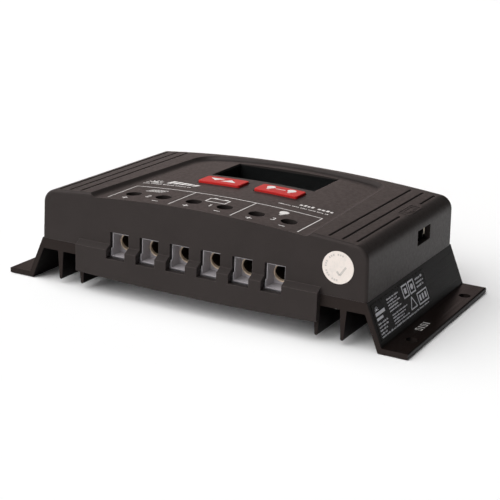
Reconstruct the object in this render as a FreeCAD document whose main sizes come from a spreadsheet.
import FreeCAD, Part
import Sketcher
import math
import os

# Charge controller: a finned heat sink base with two mounting feet, a moulded cover with a
# display and two keys, six screw terminals along the front, and the board assembly inside.
# Frame: X along the long side, Y towards the back, Z up. The origin is the centre of the
# mounting hole pattern, on the plane that the feet stand on. All sizes are in millimetres.

Vector = FreeCAD.Vector
Rotation = FreeCAD.Rotation
Placement = FreeCAD.Placement

doc = FreeCAD.newDocument("charge_controller")
sheet = doc.addObject("Spreadsheet::Sheet", "Sheet")
sheet.Label = "dimensions"

DIMENSIONS = (
    # heat sink extrusion
    ("sink_length", 187.0),
    ("sink_depth", 93.0),
    ("foot_thick", 2.3),
    ("foot_bend", 82.7),
    ("flange_thick", 2.2),
    ("foot_edge_radius", 0.6),
    ("plate_thick", 4.7),
    ("seam_height", 19.1),
    ("fin_pitch", 11.04),
    ("fin_count", 13),
    ("fin_root", 2.9),
    ("fin_tip", 1.3),
    ("fin_bottom", 2.0),
    ("fin_nose", 0.5),
    ("notch_half", 50.0),
    ("notch_back", -25.0),
    ("mount_half_x", 89.1),
    ("mount_half_y", 30.8),
    ("mount_hole_radius", 2.5),
    ("thread_depth", 4.0),
    # cover shell
    ("cover_half", 75.6),
    ("cover_shoulder", 74.9),
    ("cover_edge_height", 40.3),
    ("cover_top", 44.5),
    ("cover_wall", 2.2),
    ("cover_long_radius", 6.0),
    ("cover_rim_radius", 1.3),
    ("panel_top", 43.35),
    ("panel_radius", 521.0),
    ("panel_half_front", 49.6),
    ("panel_half_back", 45.0),
    ("panel_back", 41.6),
    ("panel_corner", 7.0),
    ("panel_slope", 1.4),
    ("panel_round", 2.6),
    ("panel_wall", 2.0),
    ("groove_radius", 0.55),
    ("skirt_half", 56.3),
    ("skirt_front", -49.5),
    ("skirt_bottom", 7.2),
    ("skirt_arch", 1.3),
    ("skirt_ledge", 21.9),
    ("skirt_slope", 1.7),
    # terminals
    ("terminal_pitch", 14.52),
    ("terminal_count", 6),
    ("opening_half", 4.55),
    ("opening_low", 16.5),
    ("opening_high", 27.35),
    ("nose_gap", 0.35),
    ("nose_wall", 0.4),
    ("nose_recess", 1.4),
    ("lip_recess", 3.4),
    ("funnel_back", -39.6),
    ("block_half", 44.5),
    ("block_back", -26.0),
    ("block_low", 12.0),
    ("block_high", 32.0),
    ("clamp_half", 5.0),
    ("clamp_front", -38.9),
    ("clamp_back", -29.5),
    ("clamp_low", 16.5),
    ("clamp_high", 29.5),
    ("wire_height", 22.0),
    ("wire_radius", 3.3),
    ("collar_radius", 3.8),
    ("screw_line", -35.6),
    ("screw_radius", 2.5),
    ("screw_fit", 0.06),
    ("screw_tip", 26.6),
    ("head_low", 35.3),
    ("head_radius", 3.0),
    ("head_height", 2.6),
    ("slot_width", 1.0),
    ("slot_depth", 1.3),
    ("access_radius", 3.4),
    ("guide_radius", 4.8),
    ("guide_low", 32.3),
    ("foot_radius", 2.2),
    ("foot_height", 1.2),
    ("rivet_radius", 1.0),
    ("rivet_height", 1.5),
    # board and its fixings
    ("board_half", 70.0),
    ("board_front", -43.5),
    ("board_back", 43.3),
    ("board_low", 24.1),
    ("board_thick", 1.6),
    ("boss_x", 60.7),
    ("boss_y", 38.0),
    ("boss_radius", 4.0),
    ("standoff_x", 66.0),
    ("standoff_y", 26.0),
    ("standoff_radius", 3.2),
    ("thread_radius", 1.45),
    ("thread_fit", 0.05),
    ("pan_radius", 2.8),
    ("pan_height", 2.3),
    # power transistors
    ("transistor_count", 6),
    ("transistor_pitch", 14.0),
    ("transistor_screw_y", -16.2),
    ("pad_thick", 0.3),
    ("tab_thick", 1.3),
    # display
    ("window_half", 25.2),
    ("window_front", 10.6),
    ("window_back", 36.8),
    ("window_level", 36.0),
    ("window_thick", 1.3),
    ("window_rim", 0.7),
    ("window_rim_top", 42.3),
    # keys
    ("key_length", 20.4),
    ("key_depth", 9.7),
    ("key_left_x", -13.1),
    ("key_right_x", 14.3),
    ("key_y", -0.45),
    ("key_top", 44.4),
    ("key_gap", 0.3),
    # data socket
    ("jack_y", 12.4),
    ("jack_half", 7.95),
    ("jack_inner", 55.5),
    ("jack_outer", 72.6),
    ("jack_high", 36.0),
    ("port_half", 7.2),
    ("port_low", 28.4),
    ("port_high", 34.8),
    # labels
    ("label_thick", 0.15),
    ("seal_radius", 6.5),
    ("seal_x", 63.0),
    ("seal_height", 31.0),
)


class Size:
    """A length with its number and the spreadsheet expression that gives it."""

    def __init__(self, value, text):
        self.value = value
        self.text = text

    def _join(self, other, mark, number):
        return Size(number, "(%s %s %s)" % (self.text, mark, as_size(other).text))

    def __add__(self, other):
        return self._join(other, "+", self.value + as_size(other).value)

    def __sub__(self, other):
        return self._join(other, "-", self.value - as_size(other).value)

    def __mul__(self, other):
        return self._join(other, "*", self.value * as_size(other).value)

    def __truediv__(self, other):
        return self._join(other, "/", self.value / as_size(other).value)

    def __radd__(self, other):
        return as_size(other) + self

    def __rsub__(self, other):
        return as_size(other) - self

    def __rmul__(self, other):
        return as_size(other) * self

    def __neg__(self):
        return Size(-self.value, "(0 - %s)" % self.text)


class Dimensions:
    """The spreadsheet's cells by alias, each as a Size."""


def as_size(number):
    if isinstance(number, Size):
        return number
    return Size(float(number), repr(float(number)))


def fill_sheet():
    table = Dimensions()
    for row, (alias, value) in enumerate(DIMENSIONS, start=1):
        sheet.set("A%d" % row, str(value))
        sheet.setAlias("A%d" % row, alias)
        setattr(table, alias, Size(value, "Sheet." + alias))
    doc.recompute()
    return table


d = fill_sheet()
nodes = []


def bind(thing, path, size):
    """Tie one property to its spreadsheet expression."""
    thing.setExpression(path, as_size(size).text)


def place(thing, x, y, z):
    for letter, size in (("x", x), ("y", y), ("z", z)):
        bind(thing, "Placement.Base." + letter, size)


def node(thing, label):
    """Make an object one of the assembly's named sub-parts."""
    thing.Label = label
    nodes.append(thing)
    return thing


# ---------------------------------------------------------------- solids of the Part workbench

TURNS = {
    "x": Rotation(Vector(0, 1, 0), 90),
    "y": Rotation(Vector(1, 0, 0), -90),
    "z": Rotation(),
}
PLANES = {
    "xy": (Rotation(), Vector(0, 0, 1)),
    "xz": (Rotation(Vector(1, 0, 0), 90), Vector(0, 1, 0)),
    "yz": (Rotation(Vector(1, 1, 1), 120), Vector(1, 0, 0)),
}


def box(name, x, y, z):
    """A box from its (low, high) pair along each axis."""
    solid = doc.addObject("Part::Box", name)
    for path, (low, high) in (("Length", x), ("Width", y), ("Height", z)):
        bind(solid, path, as_size(high) - low)
    place(solid, x[0], y[0], z[0])
    return solid


def cylinder(name, radius, start, length, axis="z"):
    solid = doc.addObject("Part::Cylinder", name)
    solid.Placement = Placement(Vector(), TURNS[axis])
    bind(solid, "Radius", radius)
    bind(solid, "Height", length)
    place(solid, *start)
    return solid


def draw_outline(sketch, points, arcs=None):
    """Close a chain of edges through points. arcs gives an edge's (radius, side it bulges to)."""
    arcs = arcs or {}
    flat = [Vector(as_size(x).value, as_size(y).value, 0) for x, y in points]
    count = len(flat)
    for index, start in enumerate(flat):
        end = flat[(index + 1) % count]
        if index in arcs:
            radius, side = arcs[index]
            chord = end - start
            rise = radius.value - math.sqrt(radius.value ** 2 - (chord.Length / 2) ** 2)
            across = Vector(-chord.y, chord.x, 0).normalize() * side
            edge = Part.Arc(start, start + chord / 2 + across * rise, end)
        else:
            edge = Part.LineSegment(start, end)
        sketch.addGeometry(edge, False)
    heads = []
    for index, start in enumerate(flat):
        near = (sketch.getPoint(index, 1) - start).Length < 1e-6
        heads.append(1 if near else 2)
    for index in range(count):
        after = (index + 1) % count
        tail = 3 - heads[index]
        sketch.addConstraint(Sketcher.Constraint("Coincident", index, tail, after, heads[after]))
    for index, (x, y) in enumerate(points):
        for kind, size in (("DistanceX", as_size(x)), ("DistanceY", as_size(y))):
            rule = Sketcher.Constraint(kind, -1, 1, index, heads[index], size.value)
            bind(sketch, "Constraints[%d]" % sketch.addConstraint(rule), size)
    for index, (radius, _) in arcs.items():
        rule = Sketcher.Constraint("Radius", index, radius.value)
        bind(sketch, "Constraints[%d]" % sketch.addConstraint(rule), radius)


def draw_circles(sketch, centres, radius):
    for index, (x, y) in enumerate(centres):
        middle = Vector(as_size(x).value, as_size(y).value, 0)
        sketch.addGeometry(Part.Circle(middle, Vector(0, 0, 1), as_size(radius).value), False)
        rules = (
            (Sketcher.Constraint("DistanceX", -1, 1, index, 3, middle.x), x),
            (Sketcher.Constraint("DistanceY", -1, 1, index, 3, middle.y), y),
            (Sketcher.Constraint("Radius", index, as_size(radius).value), radius),
        )
        for rule, size in rules:
            bind(sketch, "Constraints[%d]" % sketch.addConstraint(rule), size)


def flat_sketch(name, plane, level, points, arcs=None):
    """A sketch on a plane that is parallel to two of the axes, at a level on the third."""
    turn, normal = PLANES[plane]
    sketch = doc.addObject("Sketcher::SketchObject", name)
    sketch.Placement = Placement(Vector(), turn)
    draw_outline(sketch, points, arcs)
    place(sketch, level * normal.x, level * normal.y, level * normal.z)
    return sketch


def prism(name, plane, points, low, high, arcs=None):
    """An outline extruded along its plane's axis, from low to high."""
    solid = doc.addObject("Part::Extrusion", name)
    solid.Base = flat_sketch(name + "_outline", plane, as_size(low), points, arcs)
    solid.DirMode = "Custom"
    solid.Dir = PLANES[plane][1]
    solid.Solid = True
    bind(solid, "LengthFwd", as_size(high) - low)
    return solid


def fuse(name, pieces):
    result = doc.addObject("Part::MultiFuse", name)
    result.Shapes = pieces
    result.Refine = True
    return result


def common(name, pieces):
    result = doc.addObject("Part::MultiCommon", name)
    result.Shapes = pieces
    return result


def group(name, pieces):
    result = doc.addObject("Part::Compound", name)
    result.Links = pieces
    return result


def cut(name, base, tools):
    result = doc.addObject("Part::Cut", name)
    result.Base = base
    result.Tool = tools[0] if len(tools) == 1 else group(name + "_tools", tools)
    result.Refine = True
    return result


def fillet(name, base, radius_of):
    """Round the edges for which radius_of gives a radius."""
    doc.recompute()
    picked = []
    for number, edge in enumerate(base.Shape.Edges, start=1):
        radius = radius_of(edge)
        if radius:
            picked.append((number, radius.value, radius.value))
    result = doc.addObject("Part::Fillet", name)
    result.Base = base
    result.Edges = picked
    return result


def edge_line(edge):
    """The middle of an edge and the direction from its start to its end."""
    start = edge.Vertexes[0].Point
    end = edge.Vertexes[-1].Point
    way = end - start
    if way.Length > 1e-9:
        way.normalize()
    return edge.CenterOfMass, way


# ---------------------------------------------------------------- PartDesign bodies

def body_sketch(body, name, role, level=0):
    """An empty sketch on one of the body's origin planes, raised to a level."""
    plane = next(item for item in body.Origin.OriginFeatures if item.Role == role)
    sketch = body.newObject("Sketcher::SketchObject", name)
    sketch.AttachmentSupport = [(plane, "")]
    sketch.MapMode = "FlatFace"
    bind(sketch, "AttachmentOffset.Base.z", level)
    return sketch


def pad(body, name, sketch, length, midplane=False):
    feature = body.newObject("PartDesign::Pad", name)
    feature.Profile = sketch
    bind(feature, "Length", length)
    if midplane:
        feature.SideType = "Symmetric"
    return feature


def pocket(body, name, sketch, depth, upwards=False):
    feature = body.newObject("PartDesign::Pocket", name)
    feature.Profile = sketch
    feature.Reversed = upwards
    bind(feature, "Length", depth)
    return feature


def turned_body(name, profile):
    """A body of revolution about Z from (radius, height) points."""
    body = doc.addObject("PartDesign::Body", name)
    sketch = body_sketch(body, name + "_profile", "XZ_Plane")
    draw_outline(sketch, profile)
    turned = body.newObject("PartDesign::Revolution", name + "_turned")
    turned.Profile = sketch
    turned.ReferenceAxis = (sketch, ["V_Axis"])
    turned.Angle = 360
    return body


# ---------------------------------------------------------------- shared places

half_depth = d.sink_depth / 2
board_top = d.board_low + d.board_thick
corners = [(sx, sy) for sx in (-1, 1) for sy in (-1, 1)]
terminal_x = [d.terminal_pitch * (index - (d.terminal_count.value - 1) / 2)
              for index in range(int(d.terminal_count.value))]
transistor_x = [d.transistor_pitch * (index - (d.transistor_count.value - 1) / 2)
                for index in range(int(d.transistor_count.value))]
boss_places = [(d.boss_x * sx, d.boss_y * sy) for sx, sy in corners]
standoff_places = [(d.standoff_x * sx, d.standoff_y * sy) for sx, sy in corners]
lead_offsets = (-2.54, 0.0, 2.54)
lead_y = 0.15


def arch_radius(half, rise):
    """Radius of the arc that rises by rise over a half chord."""
    return (half * half + rise * rise) / (rise * 2)


# ---------------------------------------------------------------- heat sink

def heat_sink():
    body = doc.addObject("PartDesign::Body", "heat_sink")
    lean = (d.foot_bend - d.cover_half) / (d.seam_height - d.foot_thick)
    slant = Size(math.sqrt(1 + lean.value ** 2), "sqrt(1 + %s ^ 2)" % lean.text)
    inner = d.flange_thick * slant
    plate_low = d.seam_height - d.plate_thick
    inner_top = d.cover_half + lean * d.plate_thick - inner
    inner_foot = inner_top + lean * plate_low
    half = d.sink_length / 2
    right = [
        (d.cover_half, d.seam_height),
        (d.foot_bend, d.foot_thick),
        (half, d.foot_thick),
        (half, 0),
        (inner_foot, 0),
        (inner_top, plate_low),
    ]
    left = [(-as_size(x), z) for x, z in reversed(right)]
    section = body_sketch(body, "sink_section", "XZ_Plane")
    draw_outline(section, right + left)
    profile = pad(body, "sink_profile", section, d.sink_depth, midplane=True)
    doc.recompute()

    rounded = body.newObject("PartDesign::Fillet", "foot_rounding")
    names = []
    for number, edge in enumerate(profile.Shape.Edges, start=1):
        middle, way = edge_line(edge)
        if abs(way.y) > 0.99 and abs(middle.x) > d.cover_half.value + 2:
            if middle.z > 0.1 or abs(middle.x) > d.foot_bend.value:
                names.append("Edge%d" % number)
    rounded.Base = (profile, names)
    bind(rounded, "Radius", d.foot_edge_radius)

    first = d.fin_pitch * (-(d.fin_count.value - 1) / 2)
    tip = d.fin_bottom + d.fin_nose
    sunk = plate_low + 1
    fin = body_sketch(body, "fin_section", "XZ_Plane")
    draw_outline(fin, [
        (first - d.fin_root / 2, sunk),
        (first - d.fin_tip / 2, tip),
        (first - d.fin_tip / 4, d.fin_bottom),
        (first + d.fin_tip / 4, d.fin_bottom),
        (first + d.fin_tip / 2, tip),
        (first + d.fin_root / 2, sunk),
    ])
    one_fin = pad(body, "fin", fin, d.sink_depth, midplane=True)
    row = body.newObject("PartDesign::LinearPattern", "fin_row")
    row.Originals = [one_fin]
    row.Direction = (fin, ["H_Axis"])
    bind(row, "Length", d.fin_pitch * (d.fin_count - 1))
    row.Occurrences = int(d.fin_count.value)
    body.Tip = row

    notch = body_sketch(body, "terminal_notch_outline", "XY_Plane", d.seam_height + 1)
    draw_outline(notch, [
        (-d.notch_half, -half_depth - 1),
        (d.notch_half, -half_depth - 1),
        (d.notch_half, d.notch_back),
        (-d.notch_half, d.notch_back),
    ])
    pocket(body, "terminal_notch", notch, d.seam_height + 2)

    mounting = body_sketch(body, "mounting_hole_circles", "XY_Plane", d.foot_thick + 1)
    places = [(d.mount_half_x * sx, d.mount_half_y * sy) for sx, sy in corners]
    draw_circles(mounting, places, d.mount_hole_radius)
    pocket(body, "mounting_holes", mounting, d.foot_thick + 2)

    clearance = body_sketch(body, "cover_screw_circles", "XY_Plane", d.seam_height + 1)
    draw_circles(clearance, boss_places, d.thread_radius + 0.25)
    pocket(body, "cover_screw_holes", clearance, d.plate_thick + 2)

    threads = body_sketch(body, "thread_circles", "XY_Plane", d.seam_height)
    under_tabs = [(x, d.transistor_screw_y) for x in transistor_x]
    draw_circles(threads, standoff_places + under_tabs, d.thread_radius + d.thread_fit)
    pocket(body, "threads", threads, d.thread_depth)
    node(body, "heat_sink")


# ---------------------------------------------------------------- cover

def above_arch(name, top, radius, lift):
    """Everything above an arch whose crown is at top + lift."""
    half = 80.0
    drop = radius.value - math.sqrt(radius.value ** 2 - half ** 2)
    drop_text = "(%s - sqrt(%s ^ 2 - %r ^ 2))" % (radius.text, radius.text, half)
    edge = top + lift - Size(drop, drop_text)
    outline = [(-half, edge), (half, edge), (half, 60), (-half, 60)]
    return prism(name, "xz", outline, -70, 70, {0: (radius, 1)})


def panel_outline(name, level):
    """The recess outline at one height: open to the front, round corners at the back."""
    sunk_edge = d.panel_top - 2.0
    grow = d.panel_slope * (level - sunk_edge)
    back = d.panel_back + d.panel_slope * (level - d.panel_top)
    front_y = -half_depth - 1.5
    taper = (d.panel_half_front - d.panel_half_back) / (d.panel_back + half_depth)
    corner = d.panel_corner + grow
    front_half = d.panel_half_front + grow + taper * (-half_depth - front_y)
    side_half = d.panel_half_front + grow - taper * (back - corner + half_depth)
    points = [
        (front_half, front_y),
        (side_half, back - corner),
        (side_half - corner, back),
        (corner - side_half, back),
        (-side_half, back - corner),
        (-front_half, front_y),
    ]
    return flat_sketch(name, "xy", as_size(level), points, {1: (corner, -1), 3: (corner, -1)})


def panel_recess():
    """The room above the sunk control panel, with sloping sides that run smoothly into its floor."""
    funnel = doc.addObject("Part::Loft", "panel_sides")
    low = panel_outline("panel_low", as_size(39))
    funnel.Sections = [low, panel_outline("panel_high", d.cover_top + 0.3)]
    funnel.Solid = True
    funnel.Ruled = True
    room = common("panel_room", [funnel, above_arch("over_panel", d.panel_top, d.panel_radius, 0)])

    def radius_of(edge):
        middle = edge.CenterOfMass
        beside_floor = middle.z < d.panel_top.value + 0.2 and middle.y > -half_depth.value
        return d.panel_round if beside_floor else None

    return fillet("panel_recess", room, radius_of)


def cover_outer():
    rise = d.cover_top - d.cover_edge_height
    crown = arch_radius(d.cover_shoulder, rise)
    section = [
        (-d.cover_half, d.seam_height),
        (-d.cover_shoulder, d.cover_edge_height),
        (d.cover_shoulder, d.cover_edge_height),
        (d.cover_half, d.seam_height),
    ]
    block = prism("cover_block", "xz", section, -half_depth, half_depth, {1: (crown, 1)})

    def radius_of(edge):
        middle, way = edge_line(edge)
        return d.cover_long_radius if abs(way.y) > 0.99 and middle.z > 35 else None

    smooth = fillet("cover_long_edges", block, radius_of)

    def rim_of(edge):
        middle, way = edge_line(edge)
        at_end = abs(abs(middle.y) - half_depth.value) < 0.01
        return d.cover_rim_radius if at_end and middle.z > d.seam_height.value + 1 else None

    return fillet("cover_rounded", smooth, rim_of)


def skirt():
    """The apron in front of the terminals: a sloped ledge above, an arched edge below."""
    back = -half_depth - 0.1
    inner = d.cover_wall - half_depth
    side = [
        (d.skirt_front, 0),
        (d.skirt_front, d.skirt_ledge - d.skirt_slope),
        (-half_depth, d.skirt_ledge),
        (inner, d.skirt_ledge),
        (inner, d.seam_height + 0.1),
        (back, d.seam_height + 0.1),
        (back, 0),
    ]
    band = prism("skirt_band", "yz", side, -d.skirt_half - 1, d.skirt_half + 1)
    end = d.skirt_bottom + d.skirt_arch
    sweep = arch_radius(d.skirt_half, d.skirt_arch)
    front = [
        (-d.skirt_half, end),
        (d.skirt_half, end),
        (d.skirt_half, 30),
        (-d.skirt_half, 30),
    ]
    face = prism("skirt_face", "xz", front, -52, -40, {0: (sweep, -1)})
    return common("skirt", [band, face])


def cover_grooves():
    """Three shallow grooves along each raised side band."""
    tools = []
    lines = (57.4, 63.0, 68.3)
    for number, x in enumerate(lines):
        height = d.cover_top - Size(0.00075 * x * x, repr(0.00075 * x * x))
        tools.append(cylinder("groove_left_%d" % number, d.groove_radius, (-x, -43.8, height), 86.8, "y"))
        spans = ((-42.0, 1.2), (24.0, 41.3)) if x == lines[-1] else ((-43.8, 41.3),)
        for part, (low, high) in enumerate(spans):
            name = "groove_right_%d_%d" % (number, part)
            tools.append(cylinder(name, d.groove_radius, (x, low, height), high - low, "y"))
    return tools


def housing_cover():
    outside = cut("cover_outside", cover_outer(), [panel_recess()])

    inner_half = d.cover_half - d.cover_wall
    inner_shoulder = d.cover_shoulder - d.cover_wall
    ceiling = d.panel_top - d.panel_wall
    drop = d.panel_radius.value - math.sqrt(d.panel_radius.value ** 2 - inner_shoulder.value ** 2)
    wing = ceiling - Size(drop, repr(drop))
    low = d.seam_height - 1
    cavity_section = [
        (-inner_half, low),
        (-inner_shoulder, wing),
        (inner_shoulder, wing),
        (inner_half, low),
    ]
    front = d.cover_wall - half_depth
    cavity = prism("cover_cavity", "xz", cavity_section, front, -front, {1: (d.panel_radius, 1)})
    shell = cut("cover_shell", outside, [cavity])

    fittings = []
    for number, x in enumerate(terminal_x):
        start = (x, d.screw_line, d.guide_low)
        fittings.append(cylinder("guide_%d" % number, d.guide_radius, start, 20))
    for number, (x, y) in enumerate(boss_places):
        fittings.append(cylinder("boss_%d" % number, d.boss_radius, (x, y, d.seam_height), 30))
    rim = 1.8
    fittings.append(box("display_well", (-d.window_half - rim, d.window_half + rim),
                        (d.window_front - rim, d.window_back + rim), (d.window_level, 60)))
    inside = common("cover_fittings", [fuse("all_fittings", fittings), outside])
    solid = fuse("cover_solid", [shell, inside, skirt()])

    tools = cover_grooves()
    for number, x in enumerate(terminal_x):
        tools.append(cylinder("access_%d" % number, d.access_radius, (x, d.screw_line, 30), 20))
        tools.append(box("wire_opening_%d" % number, (x - d.opening_half, x + d.opening_half),
                         (-55, front + 0.5), (d.opening_low, d.opening_high)))
    for number, (x, y) in enumerate(boss_places):
        start = (x, y, d.seam_height - 1)
        tools.append(cylinder("pilot_%d" % number, d.thread_radius + d.thread_fit, start, 15))
    tools.append(box("display_opening", (-d.window_half, d.window_half),
                     (d.window_front, d.window_back), (30, 60)))
    for name, x in (("left", d.key_left_x), ("right", d.key_right_x)):
        tools.append(box("key_opening_" + name, key_span(x, d.key_length, d.key_gap),
                         key_span(d.key_y, d.key_depth, d.key_gap), (36, 60)))
    tools.append(box("port_opening", (65, 80), (d.jack_y - d.port_half, d.jack_y + d.port_half),
                     (d.port_low, d.port_high)))
    node(cut("housing_cover", solid, tools), "housing_cover")


def key_span(middle, length, gap):
    return (middle - length / 2 - gap, middle + length / 2 + gap)


# ---------------------------------------------------------------- terminals

def terminal_block():
    """The grey insulating block that holds the six clamps, with a nose in each wire opening."""
    front = d.cover_wall - half_depth + 0.2
    solids = [box("block_core", (-d.block_half, d.block_half), (front, d.block_back),
                  (d.block_low, d.block_high))]
    tools = []
    half = d.opening_half - d.nose_gap
    room = half - d.nose_wall
    low = d.opening_low + d.nose_gap
    high = d.opening_high - d.nose_gap
    lip = d.skirt_front + d.lip_recess
    cage = 0.05
    for number, x in enumerate(terminal_x):
        side = (x - half, x + half)
        solids.append(box("nose_%d" % number, side, (d.nose_recess - half_depth, front), (low, high)))
        solids.append(box("lip_%d" % number, side, (lip, front), (low, d.skirt_ledge - 1.5)))
        tools.append(box("funnel_%d" % number, (x - room, x + room), (lip - 1, d.funnel_back),
                         (low + d.nose_wall, high - d.nose_wall)))
        wire = (x, d.funnel_back - 1, d.wire_height)
        tools.append(cylinder("collar_hole_%d" % number, d.collar_radius + cage, wire, 3, "y"))
        width = d.clamp_half + cage
        tools.append(box("cage_%d" % number, (x - width, x + width), (d.clamp_front - cage, -20),
                         (d.clamp_low - cage, d.clamp_high + cage)))
        drive = (x, d.screw_line, d.clamp_high)
        tools.append(cylinder("drive_hole_%d" % number, d.access_radius + 0.1, drive, 5))
    block = fuse("block_solid", solids)
    node(cut("terminal_block", block, [fuse("block_tools", tools)]), "terminal_block")


def clamp_bodies():
    """Six brass cages, each with a round wire bore and a threaded hole for its screw."""
    cages = []
    for number, x in enumerate(terminal_x):
        block = box("cage_block_%d" % number, (x - d.clamp_half, x + d.clamp_half),
                    (d.clamp_front, d.clamp_back), (d.clamp_low, d.clamp_high))
        mouth = d.funnel_back - 0.15
        collar = cylinder("collar_%d" % number, d.collar_radius, (x, mouth, d.wire_height),
                          d.clamp_front - mouth, "y")
        bore = cylinder("wire_bore_%d" % number, d.wire_radius, (x, mouth - 1, d.wire_height), 14, "y")
        thread = cylinder("clamp_thread_%d" % number, d.screw_radius + d.screw_fit,
                          (x, d.screw_line, d.wire_height), 10)
        solid = fuse("cage_solid_%d" % number, [block, collar])
        cages.append(cut("clamp_%d" % number, solid, [fuse("clamp_cut_%d" % number, [bore, thread])]))
    node(group("clamp_bodies", cages), "clamp_bodies")


lug_pins = (-1.8, 1.8)
lug_pin_y = -22.5
lug_pin_radius = 0.6


def solder_lugs():
    """A copper tail from each clamp to two pins through the board."""
    tails = []
    for number, x in enumerate(terminal_x):
        bar = box("lug_bar_%d" % number, (x - 3, x + 3), (d.clamp_back, -21), (board_top, board_top + 1))
        pins = [cylinder("lug_pin_%d_%d" % (number, side), lug_pin_radius,
                         (x + offset, lug_pin_y, d.board_low - 1), 3)
                for side, offset in enumerate(lug_pins)]
        tails.append(fuse("lug_%d" % number, [bar] + pins))
    node(group("solder_lugs", tails), "solder_lugs")


def terminal_screws():
    """Slotted clamp screws, each with the pressure foot that is riveted to its tip."""
    for number, x in enumerate(terminal_x, start=1):
        name = "terminal_screw_%d" % number
        top = d.head_low + d.head_height
        screw = turned_body(name, [
            (d.rivet_radius + d.screw_fit, d.screw_tip),
            (d.screw_radius, d.screw_tip),
            (d.screw_radius, d.head_low),
            (d.head_radius, d.head_low),
            (d.head_radius, top - 0.3),
            (d.head_radius - 0.3, top),
            (0, top),
            (0, d.screw_tip + d.rivet_height + 0.1),
            (d.rivet_radius + d.screw_fit, d.screw_tip + d.rivet_height + 0.1),
        ])
        slot = body_sketch(screw, name + "_slot_outline", "XY_Plane", top)
        wide = d.slot_width / 2
        draw_outline(slot, [(-5, -wide), (5, -wide), (5, wide), (-5, wide)])
        pocket(screw, name + "_slot", slot, d.slot_depth)
        place(screw, x, d.screw_line, 0)
        node(screw, name)

        name = "clamp_foot_%d" % number
        foot = turned_body(name, [
            (0, d.screw_tip - d.foot_height),
            (d.foot_radius, d.screw_tip - d.foot_height),
            (d.foot_radius, d.screw_tip - 0.02),
            (d.rivet_radius, d.screw_tip - 0.02),
            (d.rivet_radius, d.screw_tip + d.rivet_height),
            (0, d.screw_tip + d.rivet_height),
        ])
        place(foot, x, d.screw_line, 0)
        node(foot, name)


# ---------------------------------------------------------------- board assembly

def main_pcb():
    body = doc.addObject("PartDesign::Body", "main_pcb")
    outline = body_sketch(body, "board_outline", "XY_Plane", d.board_low)
    notch = d.block_half + 0.7
    notch_back = d.block_back + 0.3
    draw_outline(outline, [
        (-d.board_half, d.board_front),
        (-notch, d.board_front),
        (-notch, notch_back),
        (notch, notch_back),
        (notch, d.board_front),
        (d.board_half, d.board_front),
        (d.board_half, d.board_back),
        (-d.board_half, d.board_back),
    ])
    pad(body, "board", outline, d.board_thick)
    over_tabs = [(x, d.transistor_screw_y) for x in transistor_x]
    lead_places = [(x + offset, lead_y) for x in transistor_x for offset in lead_offsets]
    pin_places = [(x + offset, lug_pin_y) for x in terminal_x for offset in lug_pins]
    hole_sets = (
        ("boss_holes", boss_places, d.boss_radius + 0.5),
        ("standoff_holes", standoff_places, d.thread_radius + 0.15),
        ("driver_holes", over_tabs, d.pan_radius + 0.5),
        ("lead_holes", lead_places, 0.6),
        ("lug_holes", pin_places, lug_pin_radius + 0.1),
    )
    for name, places, radius in hole_sets:
        circles = body_sketch(body, name + "_circles", "XY_Plane", board_top + 1)
        draw_circles(circles, places, radius)
        pocket(body, name, circles, d.board_thick + 2)
    node(body, "main_pcb")


def pan_screws(name, places, seat, reach, upwards=False):
    """A group of pan head screws at places, with their heads on the level of seat."""
    screws = []
    for number, (x, y) in enumerate(places):
        if upwards:
            head = (x, y, seat - d.pan_height)
            shank = (x, y, seat)
        else:
            head = (x, y, seat)
            shank = (x, y, seat - reach)
        tag = "%s_%d" % (name, number)
        cap = cylinder(tag + "_head", d.pan_radius, head, d.pan_height)
        stem = cylinder(tag + "_shank", d.thread_radius, shank, reach)
        solid = fuse(tag + "_solid", [cap, stem])
        face = seat - d.pan_height - 1 if upwards else seat + d.pan_height - 1.2
        cross = [box(tag + "_slot_%s" % way, (x - wide, x + wide), (y - deep, y + deep), (face, face + 2.2))
                 for way, wide, deep in (("a", 1.8, 0.4), ("b", 0.4, 1.8))]
        screws.append(cut(tag, solid, [fuse(tag + "_cross", cross)]))
    node(group(name, screws), name)


def fixings():
    posts = []
    for number, (x, y) in enumerate(standoff_places):
        start = (x, y, d.seam_height)
        height = d.board_low - d.seam_height
        post = cylinder("post_%d" % number, d.standoff_radius, start, height)
        hole = cylinder("post_hole_%d" % number, d.thread_radius + 0.15, start, height)
        posts.append(cut("standoff_%d" % number, post, [hole]))
    node(group("pcb_standoffs", posts), "pcb_standoffs")
    reach = d.board_thick + (d.board_low - d.seam_height) + d.thread_depth - 0.5
    pan_screws("pcb_screws", standoff_places, board_top, reach)
    plate_low = d.seam_height - d.plate_thick
    pan_screws("cover_screws", boss_places, plate_low, d.plate_thick + 12, upwards=True)


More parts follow.
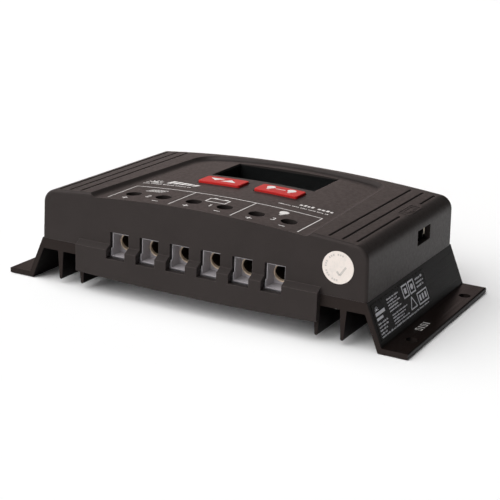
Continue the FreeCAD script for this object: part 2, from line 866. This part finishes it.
def power_transistors():
    pad_high = d.seam_height + d.pad_thick
    tab_high = pad_high + d.tab_thick
    holes = [cylinder("pad_hole_%d" % number, 1.9, (x, d.transistor_screw_y, 18), 3)
             for number, x in enumerate(transistor_x)]
    sheet_box = box("pad_sheet", (-43, 43), (-20.5, -2.2), (d.seam_height, pad_high))
    node(cut("insulating_pad", sheet_box, holes), "insulating_pad")
    tabs = []
    cases = []
    leads = []
    for number, x in enumerate(transistor_x):
        plate = box("tab_plate_%d" % number, (x - 5, x + 5), (-19, -3.2), (pad_high, tab_high))
        hole = cylinder("tab_hole_%d" % number, 1.8, (x, d.transistor_screw_y, pad_high - 1), 4)
        tabs.append(cut("tab_%d" % number, plate, [hole]))
        cases.append(box("case_%d" % number, (x - 5, x + 5), (-12.4, -3.2), (tab_high, d.board_low - 0.3)))
        for leg, offset in enumerate(lead_offsets):
            side = (x + offset - 0.4, x + offset + 0.4)
            flat = box("lead_flat_%d_%d" % (number, leg), side, (-3.2, lead_y + 0.25), (21.5, 22.0))
            post = box("lead_post_%d_%d" % (number, leg), side, (lead_y - 0.25, lead_y + 0.25),
                       (21.5, board_top + 1.2))
            leads.append(fuse("lead_%d_%d" % (number, leg), [flat, post]))
    node(group("transistor_tabs", tabs), "transistor_tabs")
    node(group("transistor_cases", cases), "transistor_cases")
    node(group("transistor_leads", leads), "transistor_leads")
    under_tabs = [(x, d.transistor_screw_y) for x in transistor_x]
    pan_screws("transistor_screws", under_tabs, tab_high, tab_high - d.seam_height + d.thread_depth - 0.5)


def board_parts():
    cans = [cylinder("can_%d" % number, 5.0, (-48, y, board_top), 11.5)
            for number, y in enumerate((8.0, 20.0, 32.0))]
    rounded = [fillet("can_rounded_%d" % number, can, can_rim) for number, can in enumerate(cans)]
    node(group("capacitors", rounded), "capacitors")

    legs = [box("shunt_leg_%d" % number, (x, x + 1.2), (-9, -4), (board_top, board_top + 4.5))
            for number, x in enumerate((52.0, 64.8))]
    bridge = box("shunt_bridge", (52.0, 66.0), (-9, -4), (board_top + 3.5, board_top + 4.5))
    node(fuse("shunt_resistor", legs + [bridge]), "shunt_resistor")

    case = box("processor_case", (38, 50), (22, 34), (board_top + 0.3, board_top + 1.8))
    pins = []
    for number in range(8):
        step = -5.25 + 1.5 * number
        for tag, x, y in (("w", 37.25, 28 + step), ("e", 50.75, 28 + step),
                          ("s", 44 + step, 21.25), ("n", 44 + step, 34.75)):
            wide, deep = (0.75, 0.2) if tag in "we" else (0.2, 0.75)
            pins.append(box("processor_pin_%s_%d" % (tag, number), (x - wide, x + wide),
                            (y - deep, y + deep), (board_top, board_top + 0.3)))
    node(group("microcontroller", [case] + pins), "microcontroller")

    chips = [box("chip_%d" % number, (x - 2.5, x + 2.5), (y - 2, y + 2), (board_top, board_top + 1.6))
             for number, (x, y) in enumerate(((-36, 28), (-36, 16), (36, 12), (-60, -10)))]
    node(group("driver_chips", chips), "driver_chips")

    diodes = [box("diode_%d" % number, (x - 3.4, x + 3.4), (y - 3, y + 3), (board_top, board_top + 2.4))
              for number, (x, y) in enumerate(((-56, -30), (56, -30), (56, -18)))]
    node(group("surge_diodes", diodes), "surge_diodes")

    small = []
    for number in range(12):
        x = -24 + 4.2 * number
        small.append(box("resistor_%d" % number, (x - 1, x + 1), (2.6, 3.9), (board_top, board_top + 0.8)))
    node(group("chip_resistors", small), "chip_resistors")

    bead = doc.addObject("Part::Sphere", "temperature_sensor")
    bead.Radius = 1.6
    place(bead, -66, 6, board_top + 1.6)
    node(bead, "temperature_sensor")


def can_rim(edge):
    middle = edge.CenterOfMass
    closed = len(edge.Vertexes) == 1
    if closed and middle.z > board_top.value + 6:
        return as_size(0.8)
    return None


def data_socket():
    """Eight-way data socket, open towards +X behind the port in the cover's side wall."""
    case = box("jack_case", (d.jack_inner, d.jack_outer),
               (d.jack_y - d.jack_half, d.jack_y + d.jack_half), (board_top, d.jack_high))
    room = box("jack_room", (61, 80), (d.jack_y - 5.9, d.jack_y + 5.9), (28.3, 34.9))
    latch = box("jack_latch", (61, 80), (d.jack_y - 3.1, d.jack_y + 3.1), (26.9, 29))
    node(cut("rj45_jack", case, [fuse("jack_cut", [room, latch])]), "rj45_jack")
    wires = []
    for number in range(8):
        wire = cylinder("contact_%d" % number, 0.22, (61.05, 0, 34.5), 6.4, "x")
        wire.Placement = Placement(Vector(), Rotation(Vector(0, 1, 0), 110))
        place(wire, 61.3, d.jack_y - 3.57 + 1.02 * number, 34.3)
        wires.append(wire)
    node(group("rj45_contacts", wires), "rj45_contacts")


# ---------------------------------------------------------------- display and keys

def display():
    reach = d.window_half + 2.0
    front = d.window_front - 1.7
    back = d.window_back + 1.7
    window_low = d.window_level - d.window_thick
    pane = box("window_pane", (-reach, reach), (front, back), (window_low, d.window_level))
    edge = 0.06
    side_x = d.window_half - edge
    side_y = (d.window_front + edge, d.window_back - edge)
    tub = box("window_tub", (-side_x, side_x), side_y, (d.window_level, d.window_rim_top))
    hollow = box("window_hollow", (d.window_rim - side_x, side_x - d.window_rim),
                 (side_y[0] + d.window_rim, side_y[1] - d.window_rim), (d.window_level, 50))
    node(fuse("display_window", [pane, cut("window_sides", tub, [hollow])]), "display_window")
    margin = 0.4
    shell = 1.5
    inner_x = (-reach - margin, reach + margin)
    inner_y = (front - margin, back + margin)
    outer_x = (inner_x[0] - shell, inner_x[1] + shell)
    outer_y = (inner_y[0] - shell, inner_y[1] + shell)
    ring = box("frame_ring", outer_x, outer_y, (board_top, window_low))
    room = box("frame_room", inner_x, inner_y, (board_top - 1, window_low + 1))
    node(cut("lcd_frame", ring, [room]), "lcd_frame")
    glass_low = window_low - 2.1
    node(box("lcd_glass", (-reach, reach), (front, back), (glass_low, window_low - 0.1)), "lcd_glass")
    strips = [box("strip_" + name, (-d.window_half, d.window_half), (low, low + 2), (board_top, glass_low))
              for name, low in (("front", front + 0.2), ("back", back - 2.2))]
    node(group("lcd_contact_strips", strips), "lcd_contact_strips")
    light = box("lcd_backlight", (-reach, reach), (front + 2.6, back - 2.6), (glass_low - 3, glass_low))
    node(light, "lcd_backlight")


def key(side, x):
    """A rocker-sized key cap with its retaining flange and stem, and its switch's plunger."""
    flange_low = 39.4
    flange_high = 40.4
    stem_low = 30.5
    cap = box("key_block_" + side, key_span(x, d.key_length, as_size(0)),
              key_span(d.key_y, d.key_depth, as_size(0)), (flange_low, 50))

    def upright(edge):
        middle, way = edge_line(edge)
        return as_size(1.2) if abs(way.z) > 0.99 else None

    rounded = fillet("key_corners_" + side, cap, upright)
    above = above_arch("over_key_" + side, d.key_top, d.panel_radius, 0)
    crowned = cut("key_crowned_" + side, rounded, [above])

    def top_rim(edge):
        middle, way = edge_line(edge)
        return as_size(0.35) if middle.z > 42.5 and abs(way.z) < 0.9 else None

    smooth = fillet("key_smooth_" + side, crowned, top_rim)
    flange = box("key_flange_" + side, key_span(x, d.key_length, as_size(1.0)),
                 key_span(d.key_y, d.key_depth, as_size(1.0)), (flange_low, flange_high))
    room = box("key_room_" + side, key_span(x, d.key_length, as_size(-1.4)),
               key_span(d.key_y, d.key_depth, as_size(-1.4)), (flange_low - 1, 42.3))
    stem = cylinder("key_stem_" + side, 2.2, (x, d.key_y, stem_low), 42.5 - stem_low)
    hollow = cut("key_hollow_" + side, fuse("key_solid_" + side, [smooth, flange]), [room])
    node(fuse("button_" + side, [hollow, stem]), "button_" + side)

    plunger = cylinder("switch_plunger_" + side, 1.75, (x, d.key_y, 28.4), stem_low - 28.4)
    node(plunger, "switch_plunger_" + side)
    case = box("switch_case_" + side, (x - 3, x + 3), (d.key_y - 3, d.key_y + 3),
               (board_top, board_top + 3.5))
    bore = cylinder("switch_bore_" + side, 1.83, (x, d.key_y, 27.8), 5)
    return cut("switch_" + side, case, [bore])


def keys():
    cases = [key("left", d.key_left_x), key("right", d.key_right_x)]
    node(group("tact_switch_bodies", cases), "tact_switch_bodies")


# ---------------------------------------------------------------- labels

def labels():
    """A rating label on the right flange and a round seal on the front face."""
    rise = d.seam_height.value - d.foot_thick.value
    run = d.foot_bend.value - d.cover_half.value
    length = 55.0
    height = 14.6
    margin = 2.2
    label = doc.addObject("Part::Box", "rating_label")
    bind(label, "Length", d.label_thick)
    label.Width = length
    label.Height = height
    lean = math.degrees(math.atan2(run, rise))
    turn = Rotation(Vector(0, 1, 0), -lean)
    label.Placement = Placement(Vector(), turn)
    slope = math.hypot(rise, run)
    x = d.foot_bend - run * margin / slope
    z = d.foot_thick + rise * margin / slope
    place(label, x, -44.5, z)
    node(label, "rating_label")
    seal = cylinder("inspection_seal", d.seal_radius, (d.seal_x, -half_depth - d.label_thick, d.seal_height),
                    d.label_thick, "y")
    node(seal, "inspection_seal")


# ---------------------------------------------------------------- assembly and export

def check_document():
    """Stop if any object failed, or if any sub-part has no valid solid."""
    doc.recompute()
    for thing in doc.Objects:
        if "Invalid" in thing.State or "Error" in thing.State:
            raise RuntimeError("%s failed: %s" % (thing.Name, thing.State))
    for thing in nodes:
        shape = thing.Shape
        if shape.isNull() or not shape.isValid() or not shape.Solids:
            raise RuntimeError("%s has no valid solid" % thing.Label)


def export():
    os.makedirs("parts", exist_ok=True)
    for thing in nodes:
        thing.Shape.exportStep("parts/%s.step" % thing.Label)
        extent = thing.Shape.BoundBox
        print("%-22s %2d solids  volume %9.1f  x %7.2f %7.2f  y %7.2f %7.2f  z %6.2f %6.2f" % (
            thing.Label, len(thing.Shape.Solids), thing.Shape.Volume,
            extent.XMin, extent.XMax, extent.YMin, extent.YMax, extent.ZMin, extent.ZMax))


heat_sink()
housing_cover()
terminal_block()
clamp_bodies()
solder_lugs()
terminal_screws()
main_pcb()
fixings()
power_transistors()
board_parts()
data_socket()
display()
keys()
labels()
check_document()
export()
